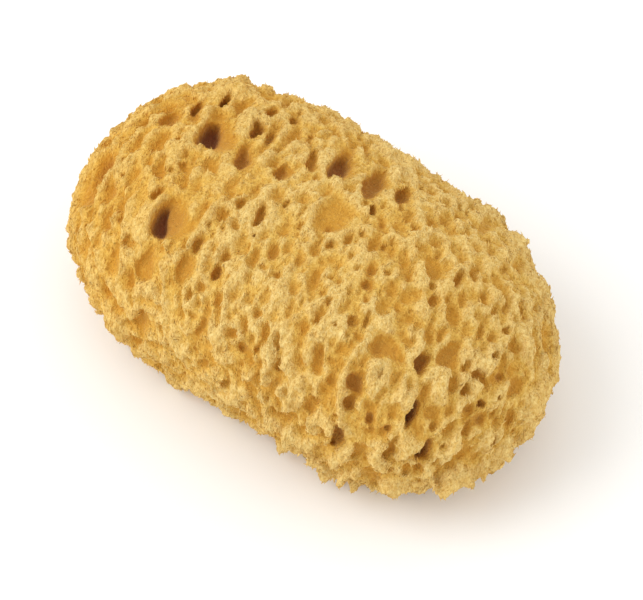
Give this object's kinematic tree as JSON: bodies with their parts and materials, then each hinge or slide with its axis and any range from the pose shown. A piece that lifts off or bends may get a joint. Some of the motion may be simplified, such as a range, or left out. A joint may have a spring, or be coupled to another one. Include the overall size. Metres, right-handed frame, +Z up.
{
  "type": "sea sponge",
  "caption": "Natural honeycomb sea sponge, a rounded oblong bun of golden spongin, pitted all over and cut flat underneath so that it rests on a surface.",
  "frame": {"origin": "middle of the flat cut underside", "axes": "+X along the sponge's length, towards the end with the deep slots, +Z up"},
  "size_m": [0.1516, 0.0914, 0.0617],
  "materials": {
    "spongin": "matte, crumbly golden fibre, paler on the ridges and orange to brown inside the pits"
  },
  "bodies": {
    "root": {"sponge": "spongin"}
  },
  "joints": []
}
